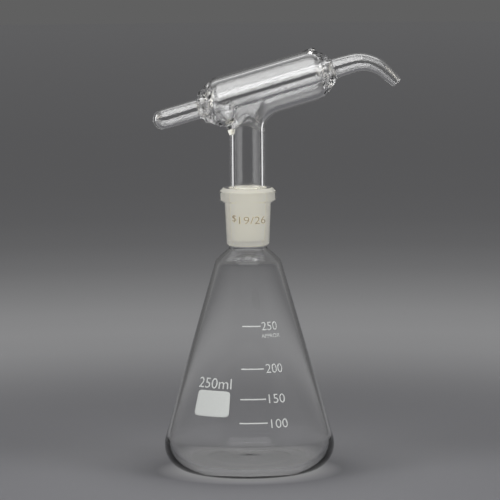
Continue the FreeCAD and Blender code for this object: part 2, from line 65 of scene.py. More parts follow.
class Body(Enum):
    """The bodies that pieces ride on; the cone's glass is fused to the head and rides it."""

    FLASK = "flask"
    HEAD = "head"


class Slot(Enum):
    """The record's material slots, listed with the print jobs; no piece is given one here."""

    CLEAR = "clear_glass"
    WHITE = "white_enamel"
    TAN = "tan_enamel"


# --- node helpers --------------------------------------------------------------------


def linear(hex_colour: str) -> Tuple[float, float, float, float]:
    """Turns an sRGB hex colour to linear red, green and blue with an alpha of 1."""
    parts = [int(hex_colour[i : i + 2], 16) / 255 for i in (0, 2, 4)]
    lin = [p / 12.92 if p <= 0.04045 else ((p + 0.055) / 1.055) ** 2.4 for p in parts]
    return lin[0], lin[1], lin[2], 1.0


def add_node(
    owner: bpy.types.ID,
    kind: str,
    settings: Optional[Dict[str, object]] = None,
    inputs: Optional[Dict[object, object]] = None,
) -> bpy.types.Node:
    """Adds one node, sets it and links it.

    Args:
        owner: the material or world whose tree takes the node.
        kind: the node's type.
        settings: attribute values.
        inputs: socket name or number to a value, or to an output socket that is linked in.

    Returns:
        The node.
    """
    tree = owner.node_tree
    node = tree.nodes.new(kind)
    for name, setting in (settings or {}).items():
        setattr(node, name, setting)
    for name, given in (inputs or {}).items():
        if isinstance(given, bpy.types.NodeSocket):
            tree.links.new(given, node.inputs[name])
        else:
            node.inputs[name].default_value = given
    return node


def empty_material(name: str) -> bpy.types.Material:
    """Makes a material with no nodes yet."""
    material = bpy.data.materials.new(name)
    material.use_nodes = True
    material.node_tree.nodes.clear()
    return material


def finish_material(material: bpy.types.Material, shader: bpy.types.NodeSocket) -> bpy.types.Material:
    """Links a shader's output socket to the material's output and returns the material."""
    add_node(material, "ShaderNodeOutputMaterial", inputs={"Surface": shader})
    return material


# --- finishes ------------------------------------------------------------------------


@dataclass(frozen=True)
class BlownBorosilicate:
    """Clear borosilicate glass, blown and fire polished.

    The eye sees a clean, nearly colourless wall with mirror-sharp reflections that
    waver a little where the hot glass flowed.
    """

    name: str = "borosilicate_glass_fire_polished"
    tint: str = "FEFEFE"
    ior: float = 1.474
    roughness: float = 0.012
    wave_mm: float = 14.0
    wave_depth_mm: float = 0.002

    def build(self) -> bpy.types.Material:
        """Makes the material."""
        m = empty_material(self.name)
        place = add_node(m, "ShaderNodeTexCoord").outputs["Object"]
        flow = add_node(
            m,
            "ShaderNodeTexNoise",
            inputs={"Vector": place, "Scale": 1 / (self.wave_mm * MM), "Detail": 1.0, "Roughness": 0.4},
        )
        bump = add_node(
            m,
            "ShaderNodeBump",
            inputs={"Height": flow.outputs["Fac"], "Distance": self.wave_depth_mm * MM, "Strength": 1.0},
        )
        glass = add_node(
            m,
            "ShaderNodeBsdfPrincipled",
            inputs={
                "Base Color": linear(self.tint),
                "Roughness": self.roughness,
                "IOR": self.ior,
                "Transmission Weight": 1.0,
                "Normal": bump.outputs["Normal"],
            },
        )
        return finish_material(m, glass.outputs["BSDF"])


@dataclass(frozen=True)
class GroundBorosilicate:
    """Borosilicate glass ground with fine grit on a taper.

    The eye sees a milky, slightly creamy translucent band with a soft sheen.
    """

    name: str = "borosilicate_glass_ground_taper"
    tint: str = "F4F2EA"
    # the ground glass's milky colour, also the colour of its painted glow
    milk_and_glow: str = "F6F4EA"
    ior: float = 1.474
    roughness: float = 0.55
    milkiness: float = 0.8
    grit_mm: float = 0.35  # the real grit is 0.05 mm; this is as coarse as it needs to show
    grit_depth_mm: float = 0.02
    cloud_mm: float = 6.0
    cloud_share: float = 0.06  # how far the milkiness wanders from cloud to cloud
    painted_glow_strength: float = 0.29  # painted glow: emission standing in for light scattered round inside the ground layer

    def build(self) -> bpy.types.Material:
        """Makes the material."""
        m = empty_material(self.name)
        place = add_node(m, "ShaderNodeTexCoord").outputs["Object"]
        grit = add_node(
            m,
            "ShaderNodeTexNoise",
            inputs={"Vector": place, "Scale": 1 / (self.grit_mm * MM), "Detail": 2.0},
        )
        cloud = add_node(
            m,
            "ShaderNodeTexNoise",
            inputs={"Vector": place, "Scale": 1 / (self.cloud_mm * MM), "Detail": 2.0},
        )
        share = add_node(
            m,
            "ShaderNodeMapRange",
            inputs={
                "Value": cloud.outputs["Fac"],
                "From Min": 0.3,
                "From Max": 0.7,
                "To Min": self.milkiness - self.cloud_share,
                "To Max": self.milkiness + self.cloud_share,
            },
        )
        bump = add_node(
            m,
            "ShaderNodeBump",
            inputs={"Height": grit.outputs["Fac"], "Distance": self.grit_depth_mm * MM, "Strength": 0.6},
        )
        frosted = add_node(
            m,
            "ShaderNodeBsdfPrincipled",
            inputs={
                "Base Color": linear(self.tint),
                "Roughness": self.roughness,
                "IOR": self.ior,
                "Transmission Weight": 1.0,
                "Normal": bump.outputs["Normal"],
            },
        )
        milk_and_glow = add_node(
            m,
            "ShaderNodeBsdfPrincipled",
            inputs={
                "Base Color": linear(self.milk_and_glow),
                "Roughness": 0.7,
                "IOR": self.ior,
                # painted glow in the milk's colour
                "Emission Color": linear(self.milk_and_glow),
                "Emission Strength": self.painted_glow_strength,
                "Normal": bump.outputs["Normal"],
            },
        )
        mixed = add_node(
            m,
            "ShaderNodeMixShader",
            inputs={"Fac": share.outputs["Result"], 1: frosted.outputs["BSDF"], 2: milk_and_glow.outputs["BSDF"]},
        )
        return finish_material(m, mixed.outputs["Shader"])


@dataclass(frozen=True)
class FiredEnamel:
    """Screen-printed ceramic enamel, fired on the glass.

    The eye sees an even, nearly matt layer with a faint mottle from the screen.
    """

    name: str
    colour: str
    mottle_colour: str
    roughness: float = 0.5
    mottle_mm: float = 0.5
    mottle_depth_mm: float = 0.02

    def build(self) -> bpy.types.Material:
        """Makes the material."""
        m = empty_material(self.name)
        place = add_node(m, "ShaderNodeTexCoord").outputs["Object"]
        mottle = add_node(
            m,
            "ShaderNodeTexNoise",
            inputs={"Vector": place, "Scale": 1 / (self.mottle_mm * MM), "Detail": 3.0},
        )
        colour = add_node(
            m,
            "ShaderNodeMix",
            settings={"data_type": "RGBA"},
            inputs={
                "Factor": mottle.outputs["Fac"],
                6: linear(self.colour),
                7: linear(self.mottle_colour),
            },
        )
        bump = add_node(
            m,
            "ShaderNodeBump",
            inputs={"Height": mottle.outputs["Fac"], "Distance": self.mottle_depth_mm * MM, "Strength": 0.4},
        )
        enamel = add_node(
            m,
            "ShaderNodeBsdfPrincipled",
            inputs={
                "Base Color": colour.outputs[2],
                "Roughness": self.roughness,
                "Normal": bump.outputs["Normal"],
            },
        )
        return finish_material(m, enamel.outputs["BSDF"])


# --- meshes --------------------------------------------------------------------------


def make_piece(
    name: str,
    points: np.ndarray,
    faces: np.ndarray,
    materials: Sequence[bpy.types.Material],
    zones: Optional[np.ndarray] = None,
    normals: Optional[np.ndarray] = None,
) -> bpy.types.Object:
    """Puts arrays into a smooth mesh object at the origin.

    Args:
        name: the piece's name.
        points: vertices in mm, one row each.
        faces: four vertex numbers a row; a triangle repeats its last.
        materials: the piece's materials.
        zones: each face's material number.
        normals: a normal for each vertex, if the mesh's own aren't wanted.

    Returns:
        The object.
    """
    is_tri = faces[:, 3] == faces[:, 2]
    sizes = np.where(is_tri, 3, 4)
    keep = np.ones(faces.shape, bool)
    keep[:, 3] = ~is_tri
    corners = faces[keep].astype(np.int32)
    mesh = bpy.data.meshes.new(name)
    mesh.vertices.add(len(points))
    mesh.vertices.foreach_set("co", (points * MM).astype(np.float32).ravel())
    mesh.loops.add(len(corners))
    mesh.loops.foreach_set("vertex_index", corners)
    mesh.polygons.add(len(faces))
    starts = np.concatenate(([0], np.cumsum(sizes)[:-1])).astype(np.int32)
    mesh.polygons.foreach_set("loop_start", starts)
    for material in materials:
        mesh.materials.append(material)
    if zones is not None:
        mesh.polygons.foreach_set("material_index", zones.astype(np.int32))
    mesh.update(calc_edges=True)
    mesh.validate()
    mesh.shade_smooth()
    if normals is not None:
        mesh.normals_split_custom_set_from_vertices(normals.astype(np.float32))
    piece = bpy.data.objects.new(name, mesh)
    bpy.context.scene.collection.objects.link(piece)
    return piece


def rounded_profile(corners: Sequence[Tuple[float, float, float]], step: float = 0.6) -> np.ndarray:
    """A profile through corners whose points are replaced by arcs.

    At each corner with a radius, the profile leaves the side at the arc's tangent point,
    follows the circle that touches both sides, and rejoins the next side; straight
    stretches are cut into steps of about 4 times the arc's.

    Args:
        corners: across, up and corner radius of each corner, in mm.
        step: longest step on an arc, in mm.

    Returns:
        Points, one row each.
    """
    at = np.array([c[:2] for c in corners], float)
    out: List[np.ndarray] = []
    for i, (x, y, radius) in enumerate(corners):
        here = at[i]
        if radius <= 0 or i in (0, len(corners) - 1):
            out.append(here[None, :])
            continue
        before = at[i - 1] - here
        after = at[i + 1] - here
        before /= np.linalg.norm(before)
        after /= np.linalg.norm(after)
        half = math.acos(float(np.clip(before @ after, -1, 1))) / 2
        back = radius / math.tan(half)
        bisector = before + after
        bisector /= np.linalg.norm(bisector)
        centre = here + bisector * radius / math.sin(half)
        start = here + before * back - centre
        end = here + after * back - centre
        turn = math.pi - 2 * half
        count = max(4, int(math.ceil(turn * radius / step)))
        share = np.linspace(0, 1, count + 1)[:, None]
        arc = (np.sin((1 - share) * turn) * start + np.sin(share * turn) * end) / math.sin(turn)
        out.append(centre + arc)
    rough = np.concatenate(out)
    filled = [rough[:1]]
    for a, b in zip(rough[:-1], rough[1:]):
        count = max(1, int(np.linalg.norm(b - a) / (step * 4)))
        filled.append(a + (b - a) * np.linspace(0, 1, count + 1)[1:, None])
    return np.concatenate(filled)


def ring_faces(rows: int, around: int, upward: bool) -> np.ndarray:
    """Four-sided faces between rings of points that follow one another.

    Args:
        rows: number of rings.
        around: points in a ring.
        upward: whether a face runs round its ring first, and not to the next ring first.

    Returns:
        The faces.
    """
    i, j = np.meshgrid(np.arange(rows - 1), np.arange(around), indexing="ij")
    here = i * around + j
    beside = i * around + (j + 1) % around
    order = (here, beside, beside + around, here + around)
    if not upward:
        order = (here, here + around, beside + around, beside)
    return np.stack(order, axis=-1).reshape(-1, 4)


def fan_faces(row: int, around: int, pole: int, forward: bool) -> np.ndarray:
    """Triangles from every side of one ring to a pole.

    Args:
        row: the ring's number.
        around: points in a ring.
        pole: the pole's vertex number.
        forward: whether a triangle follows the ring's own way round.

    Returns:
        The faces.
    """
    j = np.arange(around)
    pair = [row * around + j, row * around + (j + 1) % around]
    if not forward:
        pair.reverse()
    centre = np.full(around, pole)
    return np.stack((*pair, centre, centre), axis=1)


def revolve(profile: np.ndarray, around: int) -> Tuple[np.ndarray, np.ndarray]:
    """Carries a profile that starts and ends on the Z axis round it.

    Point (i, j) is the profile's point i turned by j steps of a full turn; each end is
    closed with triangles that share one pole.

    Args:
        profile: distance from the axis and height of each point.
        around: number of steps in the turn.

    Returns:
        Points and faces, which face outwards where the profile runs anticlockwise seen
        with the axis on its left.
    """
    body = profile[1:-1]
    angle = np.linspace(0, 2 * np.pi, around, endpoint=False)
    ring = np.stack((np.cos(angle), np.sin(angle)), axis=1)
    grid = np.empty((len(body), around, 3))
    grid[..., :2] = body[:, None, :1] * ring[None]
    grid[..., 2] = body[:, None, 1]
    poles = [[0, 0, profile[0, 1]], [0, 0, profile[-1, 1]]]
    first_pole = len(body) * around
    faces = (
        ring_faces(len(body), around, True),
        fan_faces(0, around, first_pole, False),
        fan_faces(len(body) - 1, around, first_pole + 1, True),
    )
    return np.concatenate((grid.reshape(-1, 3), poles)), np.concatenate(faces)


def surface_net(values: np.ndarray, low: np.ndarray, step: float) -> Tuple[np.ndarray, np.ndarray]:
    """The surface on which a sampled field is nought, as four-sided faces.

    Each cell of the grid whose corners differ in sign holds one vertex, at the mean of
    the places where the field crosses nought on the cell's edges.  Each grid edge that
    the surface crosses gets one face, on the vertices of the four cells round that edge,
    turned so that it faces the positive side.

    Args:
        values: the field on the grid.
        low: the grid's lowest corner.
        step: the grid's spacing.

    Returns:
        Points and faces.
    """
    inside = values < 0
    cells = tuple(n - 1 for n in values.shape)
    total = np.zeros((*cells, 3), np.float32)
    count = np.zeros(cells, np.float32)
    crossings = []
    for axis in range(3):
        first = [slice(None)] * 3
        second = [slice(None)] * 3
        first[axis], second[axis] = slice(0, -1), slice(1, None)
        v0, v1 = values[tuple(first)], values[tuple(second)]
        crossed = inside[tuple(first)] != inside[tuple(second)]
        where = np.argwhere(crossed)
        a, b = v0[crossed], v1[crossed]
        place = where.astype(np.float32)
        place[:, axis] += a / (a - b)
        others = [k for k in range(3) if k != axis]
        for back_1 in (0, 1):
            for back_2 in (0, 1):
                cell = where.copy()
                cell[:, others[0]] -= back_1
                cell[:, others[1]] -= back_2
                good = np.all((cell >= 0) & (cell < np.array(cells)), axis=1)
                key = tuple(cell[good].T)
                np.add.at(total, key, place[good])
                np.add.at(count, key, 1)
        crossings.append((axis, others, where, a < 0))
    active = count > 0
    number = np.full(cells, -1, np.int64)
    number[active] = np.arange(int(active.sum()))
    points = low + step * (total[active] / count[active][:, None])
    faces = []
    for axis, others, where, starts_inside in crossings:
        inner = np.all(where[:, others] > 0, axis=1)
        inner &= np.all(where[:, others] < np.array(cells)[others], axis=1)
        where, starts_inside = where[inner], starts_inside[inner]
        corners = []
        for back_1, back_2 in ((1, 1), (0, 1), (0, 0), (1, 0)):
            cell = where.copy()
            cell[:, others[0]] -= back_1
            cell[:, others[1]] -= back_2
            corners.append(number[tuple(cell.T)])
        quad = np.stack(corners, axis=1)
        flip = starts_inside if axis == 1 else ~starts_inside
        quad[flip] = quad[flip][:, ::-1]
        faces.append(quad)
    return points.astype(float), np.concatenate(faces)


# --- the flask -----------------------------------------------------------------------


@dataclass
class ConicalFlask:
    """The blown flask with its ground socket, one closed wall of glass."""

    diameter: float = 85.0
    height: float = 142.0
    heel: float = 13.0
    half_angle: float = 16.1
    wall: float = 1.8
    foot_thickness: float = 3.4
    push_up_radius: float = 22.0
    push_up: float = 1.0
    shoulder_slope: float = 40.0
    neck_radius: float = 9.5
    bore: float = 7.7
    socket_foot: float = 113.3
    neck_foot: float = 111.6
    mouth: float = 9.4
    ground_length: float = 26.0
    bead_radius: float = 14.2
    bead_height: float = 7.2
    socket_root: float = 10.6
    socket_top: float = 11.5
    around: int = 224

    def corner(self) -> float:
        """Where the cone would meet the table if the heel were sharp."""
        half_turn = math.radians(90 - self.half_angle) / 2
        return self.diameter / 2 - self.heel + self.heel / math.tan(half_turn)

    def cone_radius(self, z: np.ndarray) -> np.ndarray:
        """The outer radius at heights on the cone."""
        return self.corner() - z * math.tan(math.radians(self.half_angle))

    def socket_radius(self, z: np.ndarray) -> np.ndarray:
        """The socket's outer radius at heights below its bead."""
        rise = self.height - self.bead_height - self.socket_foot
        return self.socket_root + (z - self.socket_foot) * (self.socket_top - self.socket_root) / rise

    def outline(self) -> np.ndarray:
        """The wall's section: up the outside from the foot, over the rim, down the inside.

        Returns:
            Distance from the axis and height, starting and ending on the axis.
        """
        lean = math.tan(math.radians(self.half_angle))
        cos_lean = math.cos(math.radians(self.half_angle))
        fall = math.tan(math.radians(self.shoulder_slope))
        cos_fall = math.cos(math.radians(self.shoulder_slope))
        corner = self.corner()
        reach = corner - (self.neck_foot + self.neck_radius * fall) * lean
        shoulder = reach / (1 - fall * lean)
        shoulder_z = self.neck_foot - (shoulder - self.neck_radius) * fall
        bore_foot = self.neck_foot + (self.neck_radius - self.bore) * fall - self.wall / cos_fall
        inner = corner - self.wall / cos_lean
        inner_shoulder = (inner - (bore_foot + self.bore * fall) * lean) / (1 - fall * lean)
        inner_z = bore_foot - (inner_shoulder - self.bore) * fall
        top = self.height
        bead_low = top - self.bead_height
        taper_end = self.mouth - self.ground_length / 20
        return rounded_profile(
            (
                (0, self.push_up, 0),
                (self.push_up_radius, 0, 18),
                (corner, 0, self.heel),
                (shoulder, shoulder_z, 5),
                (self.neck_radius, self.neck_foot, 1.2),
                (self.neck_radius, self.socket_foot, 0.35),
                (self.socket_root, self.socket_foot, 1.0),
                (self.socket_top, bead_low, 0.4),
                (self.bead_radius - 1.6, bead_low, 0.5),
                (self.bead_radius, bead_low + 1.2, 0.9),
                (self.bead_radius, top - 2.0, 1.5),
                (self.bead_radius - 2.0, top, 1.4),
                (self.mouth, top, 0.35),
                (taper_end, top - self.ground_length, 0.4),
                (self.bore, top - self.ground_length - 1, 0.6),
                (self.bore, self.socket_foot + 0.2, 0),
                (self.bore, bore_foot, 2.0),
                (inner_shoulder, inner_z, 4),
                (inner - self.foot_thickness * lean, self.foot_thickness, self.heel - self.wall),
                (self.push_up_radius - 2, self.foot_thickness, 18),
                (0, self.foot_thickness + self.push_up, 0),
            )
        )

    def build(
        self, clear: bpy.types.Material, ground: bpy.types.Material, edge: bpy.types.Material
    ) -> bpy.types.Object:
        """Makes the flask's glass.

        Args:
            clear: the blown wall's material.
            ground: the ground taper's material.
            edge: the material of the bead's lightly ground top edge.

        Returns:
            The piece.
        """
        points, faces = revolve(self.outline(), self.around)
        middle = points[faces].mean(axis=1)
        out = np.hypot(middle[:, 0], middle[:, 1])
        in_taper = (middle[:, 2] > self.socket_foot + 0.2) & (out < self.mouth + 0.1)
        in_edge = (middle[:, 2] > self.height - 1.9) & (out > self.bead_radius - 2.3)
        finish = np.where(in_edge, 2, in_taper.astype(int))
        piece = make_piece("flask_glass", points, faces, (clear, ground, edge), finish)
        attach(piece, Body.FLASK.value)
        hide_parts("flask_body", "ground_socket")
        return piece


# --- enamel --------------------------------------------------------------------------


@dataclass(frozen=True)
class Print:
    """Words printed on the glass between two angles and two heights."""

    text: str
    start: float  # degrees round from the front
    end: float
    foot: float
    top: float
    weight: float = -0.008  # added to each side of a stroke, in text heights


@dataclass
class EnamelPrints:
    """The fired marks: numbers, capacity, patch and joint size."""

    flask: ConicalFlask
    lift: float = 0.02
    layer: float = 0.10
    numbers: Tuple[Print, ...] = (
        Print("250", 14.6, 33.4, 73.3, 77.3),
        Print("200", 15.6, 31.8, 52.8, 57.1),
        Print("150", 16.0, 29.9, 38.3, 42.6),
        Print("100", 16.2, 29.3, 26.4, 30.6),
    )
    note: Tuple[Print, ...] = (Print("APPROX", 13.9, 35.0, 69.7, 71.5),)
    capacity: Tuple[Print, ...] = (Print("250ml", -47.3, -15.0, 45.1, 50.1, -0.002),)
    joint: Tuple[Print, ...] = (
        Print("19/26", -23.0, 50.0, 124.7, 128.3, -0.014),
        Print("$", -43.5, -31.0, 125.4, 129.0, -0.014),
    )
    patch: Tuple[float, float, float, float] = (-46.4, -15.6, 31.5, 44.0)

    def words(
        self,
        name: str,
        prints: Sequence[Print],
        radius: Callable[[np.ndarray], np.ndarray],
        material: bpy.types.Material,
    ) -> bpy.types.Object:
        """Wraps printed words round the glass.

        A point of the flat text goes to the angle and height in the same proportion of
        the print's width and height, and out to the glass's radius there plus the layer.

        Args:
            name: the piece's name.
            prints: the words and their places.
            radius: the glass's radius at a height.
            material: the enamel.

        Returns:
            The piece.
        """
        parts: List[bpy.types.Mesh] = []
        for number, mark in enumerate(prints):
            curve = bpy.data.curves.new(f"{name}_{number}", "FONT")
            curve.body = mark.text
            curve.extrude = 0.5
            curve.offset = mark.weight
            curve.resolution_u = 4
            holder = bpy.data.objects.new(curve.name, curve)
            bpy.context.scene.collection.objects.link(holder)
            bpy.context.view_layer.update()
            mesh = bpy.data.meshes.new_from_object(holder)
            bpy.data.objects.remove(holder)
            work = bmesh.new()
            work.from_mesh(mesh)
            bmesh.ops.remove_doubles(work, verts=work.verts, dist=1e-5)
            lows = [min(v.co[k] for v in work.verts) for k in range(3)]
            highs = [max(v.co[k] for v in work.verts) for k in range(3)]
            for cut in np.linspace(lows[0], highs[0], 6 * len(mark.text))[1:-1]:
                geometry = list(work.verts) + list(work.edges) + list(work.faces)
                bmesh.ops.bisect_plane(work, geom=geometry, plane_co=(cut, 0, 0), plane_no=(1, 0, 0))
            bmesh.ops.triangulate(work, faces=work.faces)
            work.to_mesh(mesh)
            work.free()
            flat = np.zeros(len(mesh.vertices) * 3, np.float32)
            mesh.vertices.foreach_get("co", flat)
            share = (flat.reshape(-1, 3) - np.array(lows)) / (np.array(highs) - np.array(lows))
            z = mark.foot + share[:, 1] * (mark.top - mark.foot)
            angle = np.radians(mark.start + share[:, 0] * (mark.end - mark.start))
            out = radius(z) + self.lift + share[:, 2] * self.layer
            wrapped = np.stack((out * np.sin(angle), -out * np.cos(angle), z), axis=1) * MM
            mesh.vertices.foreach_set("co", wrapped.astype(np.float32).ravel())
            mesh.update()
            parts.append(mesh)
        merged = bmesh.new()
        for mesh in parts:
            merged.from_mesh(mesh)
        bmesh.ops.recalc_face_normals(merged, faces=merged.faces)
        result = bpy.data.meshes.new(name)
        merged.to_mesh(result)
        merged.free()
        result.materials.clear()
        result.materials.append(material)
        piece = bpy.data.objects.new(name, result)
        bpy.context.scene.collection.objects.link(piece)
        return piece

    def patch_piece(self, material: bpy.types.Material) -> bpy.types.Object:
        """Makes the writing patch, a thin field with rounded corners.

        Ring i of the grid is a superellipse of power 9 grown by a share of its full
        size; the first rings lie on the glass, the last ones on the enamel's face, so
        that the grid closes over the edge.

        Args:
            material: the enamel.

        Returns:
            The piece.
        """
        start, end, foot, top = self.patch
        rings, smallest = 14, 0.02
        growing = np.linspace(smallest, 1, rings)
        share = np.concatenate((growing, growing[::-1]))
        height = np.repeat((0.0, 1.0), rings)
        turn = np.linspace(0, 2 * np.pi, 160, endpoint=False)
        power = 9.0
        reach = (np.abs(np.cos(turn)) ** power + np.abs(np.sin(turn)) ** power) ** (-1 / power)
        across = share[:, None] * (reach * np.cos(turn))[None]
        up = share[:, None] * (reach * np.sin(turn))[None]
        z = (foot + top) / 2 + up * (top - foot) / 2
        # the field spans the same angle at every height, so it narrows with the cone
        angle = np.radians((start + end) / 2 + across * (end - start) / 2)
        out = self.flask.cone_radius(z) + self.lift + height[:, None] * self.layer
        grid = np.stack((out * np.sin(angle), -out * np.cos(angle), z), axis=-1)
        rows, around = share.size, turn.size
        first_pole = rows * around
        poles = grid[[0, rows - 1]].mean(axis=1)
        points = np.concatenate((grid.reshape(-1, 3), poles))
        faces = np.concatenate(
            (
                ring_faces(rows, around, False),
                fan_faces(0, around, first_pole, True),
                fan_faces(rows - 1, around, first_pole + 1, False),
            )
        )
        return make_piece("marking_patch_print", points, faces, (material,))

    def build(self, white: bpy.types.Material, tan: bpy.types.Material) -> List[bpy.types.Object]:
        """Makes every mark but the graduation lines, which the CAD's own node shows.

        Args:
            white: the white enamel.
            tan: the brown stain.

        Returns:
            The pieces.
        """
        cone, socket = self.flask.cone_radius, self.flask.socket_radius
        jobs = (
            ("graduation_numbers_print", self.numbers, cone, white, "graduation_numbers", Slot.WHITE),
            ("approx_mark_print", self.note, cone, white, "approx_mark", Slot.WHITE),
            ("capacity_mark_print", self.capacity, cone, white, "capacity_mark", Slot.WHITE),
            ("joint_size_print", self.joint, socket, tan, "joint_size_mark", Slot.TAN),
        )
        pieces = []
        for name, prints, radius, material, node, slot in jobs:
            piece = self.words(name, prints, radius, material)
            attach(piece, Body.FLASK.value)
            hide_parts(node)
            pieces.append(piece)
        patch = self.patch_piece(white)
        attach(patch, Body.FLASK.value)
        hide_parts("marking_patch")
        return pieces + [patch]


# --- the measuring head --------------------------------------------------------------


def soft_min(a: np.ndarray, b: np.ndarray, blend: float) -> np.ndarray:
    """The lesser of two fields, rounded where they differ by less than blend."""
    near = np.maximum(blend - np.abs(a - b), 0) / blend
    return np.minimum(a, b) - near * near * blend * 0.25


def soft_max(a: np.ndarray, b: np.ndarray, blend: float) -> np.ndarray:
    """The greater of two fields, rounded where they differ by less than blend."""
    return -soft_min(-a, -b, blend)


@dataclass
class MeasuringHead:
    """The fused glass head: ground cone, stem, jacket, ring seals, tube and spout.

    A stem that flows into a slanted jacket, with a second wall inside both, has no
    grid of its own, so the glass is the region where a field of distances is negative,
    and its surface is netted and then moved on to the field's zero.
    """

    height: float = 188.4
    tilt: float = 16.2
    jacket_radius: float = 12.6
    jacket_bore: float = 10.4
    tube_radius: float = 5.03
    tube_bore: float = 3.95
    tube_left: float = 48.7
    stem_radius: float = 8.8
    stem_bore: float = 7.0
    cone_mouth: float = 9.37
    cone_foot: float = 116.0
    socket_rim: float = 142.0
    frosted: Tuple[float, float] = (116.2, 139.8)
    nub_at: Tuple[float, float] = (-12.2, -0.6)  # u and y
    vent_at: float = 36.2
    hole_at: float = -6.2
    hole_up: float = 5.0
    step: float = 0.5

    def world(self, points: np.ndarray) -> np.ndarray:
        """Turns head coordinates (u, y, v) to the CAD frame."""
        c, s = math.cos(math.radians(self.tilt)), math.sin(math.radians(self.tilt))
        u, y, v = points.T
        return np.stack((u * c - v * s, y, self.height + u * s + v * c), axis=1)

    def spout(self, u: np.ndarray, y: np.ndarray, v: np.ndarray, wall: float) -> np.ndarray:
        """Distance from the spout's skin, less than nought inside.

        The line runs straight along the jacket's axis, round a bend of radius 17 and
        straight on; the skin lies the drawn tube's radius from it.

        Args:
            u, y, v: places in the head's frame.
            wall: how far inside the outer skin.

        Returns:
            The distances.
        """
        bend, turn = 17.0, math.radians(59.7)
        start, run, tail = 40.0, 54.2, 8.6
        sin_t, cos_t = math.sin(turn), math.cos(turn)
        cu, cv = run, -bend
        angle = np.arctan2(u - cu, v - cv)
        on_arc = np.clip(angle, 0, turn)
        # nearest point and length of the line up to it
        arc_u, arc_v = cu + bend * np.sin(on_arc), cv + bend * np.cos(on_arc)
        first = np.clip(u, start, run)
        end_u, end_v = cu + bend * sin_t, cv + bend * cos_t
        along = (u - end_u) * cos_t - (v - end_v) * sin_t
        tail_at = np.clip(along, 0, tail)
        tail_u, tail_v = end_u + tail_at * cos_t, end_v - tail_at * sin_t
        best = np.full(u.shape, 1e9)
        length = np.zeros(u.shape)
        for pu, pv, made in (
            (first, 0.0, first - start),
            (arc_u, arc_v, run - start + bend * on_arc),
            (tail_u, tail_v, run - start + bend * turn + tail_at),
        ):
            off = (u - pu) ** 2 + (v - pv) ** 2
            nearer = off < best
            best = np.where(nearer, off, best)
            length = np.where(nearer, made, length)
        stations = np.array([0, 8.0, 14.0, 20.0, 24.6, 28.8, 33.2, 37.3, 41.0])
        widths = np.array([5.03, 5.03, 4.8, 4.35, 4.0, 3.85, 3.45, 3.05, 2.85])
        radius = np.interp(length, stations, widths)
        thin = wall * np.interp(length, (14.0, 38.0), (1.0, 0.86))
        skin = np.sqrt(best + y * y) - (radius - thin)
        past_tip, rounding = (0.0, 0.5) if wall == 0 else (3.0, 0.1)  # a bore runs out of the tip
        return soft_max(skin, along - tail - past_tip, rounding)

    def waves(self, u: np.ndarray, y: np.ndarray, v: np.ndarray, shift: float) -> np.ndarray:
        """The uneven flow of hot-worked glass round both ring seals.

        A sum of sines of the angle round the jacket and of the place along it, faded in
        over the seals only.
        """
        turn = np.arctan2(v, y)
        seals = np.exp(-(((u + 19.5) / 3.4) ** 2)) + np.exp(-(((u - 40.6) / 3.4) ** 2))
        flow = (
            0.5 * np.sin(5 * turn + 1.1 * u + shift)
            + 0.4 * np.sin(9 * turn - 0.7 * u + 2.1 * shift)
            + 0.45 * np.sin(3 * turn + 2.3 * u + 0.7 * shift)
            + 0.3 * np.sin(14 * turn + 1.7 * u - shift)
        )
        return 0.3 * seals * flow

    def distance(self, u: np.ndarray, y: np.ndarray, v: np.ndarray) -> np.ndarray:
        """The glass's field: less than nought in glass.

        It is the outer form less the space inside the jacket and stem and less the
        tube's bore, each a soft minimum of simple distances.
        """
        c, s = math.cos(math.radians(self.tilt)), math.sin(math.radians(self.tilt))
        x = u * c - v * s
        z = self.height + u * s + v * c
        off_axis = np.sqrt(y * y + v * v)
        off_stem = np.sqrt(x * x + y * y)

        # outer forms
        jacket = off_axis - self.jacket_radius
        jacket = soft_max(jacket, (-u - 24.9) * 0.68 + (off_axis - 5.0) * 0.733, 3.6)
        jacket = soft_max(jacket, (u - 44.6) * 0.75 + (off_axis - 5.2) * 0.66, 4.5)
        jacket = soft_max(jacket, -u - 25.2, 0.8)
        jacket = soft_max(jacket, u - 45.0, 0.8)
        jacket = jacket + self.waves(u, y, v, 0.4)
        # beads of glass gathered at both seals
        ring_left = np.sqrt((u + 22.2) ** 2 + (off_axis - 6.6) ** 2) - 1.5
        ring_right = np.sqrt((u - 42.4) ** 2 + (off_axis - 6.2) ** 2) - 1.3
        jacket = soft_min(jacket, soft_min(ring_left, ring_right, 0.5), 1.2)
        end = np.sqrt(np.maximum(-(u + self.tube_left - self.tube_radius), 0) ** 2 + off_axis**2)
        tube = soft_max(end - self.tube_radius, u - 46.0, 0.1)
        stem_top = z - self.height
        cone = off_stem - (self.cone_mouth + (np.minimum(z, self.socket_rim) - self.socket_rim) / 20)
        cone = np.maximum(cone, z - (self.socket_rim + 0.2))
        stem = soft_max(off_stem - self.stem_radius, (self.socket_rim - 0.4) - z, 0.4)
        stem = np.maximum(stem, stem_top)
        foot = soft_max(soft_min(cone, stem, 0.2), self.cone_foot - z, 0.6)
        side = np.clip((x + 7.0) / 16.0, 0, 1)
        side = side * side * (3 - 2 * side)
        blend = 3.2 + 4.8 * side
        outer = soft_min(foot, jacket, blend)
        outer = soft_min(outer, tube, 1.0)
        outer = soft_min(outer, self.spout(u, y, v, 0.0), 0.4)
        nub = np.sqrt((u - self.nub_at[0]) ** 2 + (y - self.nub_at[1]) ** 2) - 2.1
        nub = soft_max(nub, -v - 16.4, 0.9)
        nub = np.maximum(nub, v + 11.4)
        outer = soft_min(outer, nub, 0.8)
        round_vent = np.sqrt((u - self.vent_at) ** 2 + y * y)
        rim = np.sqrt((round_vent - 1.75) ** 2 + (v - 12.0) ** 2) - 0.85
        outer = soft_min(outer, rim, 0.5)

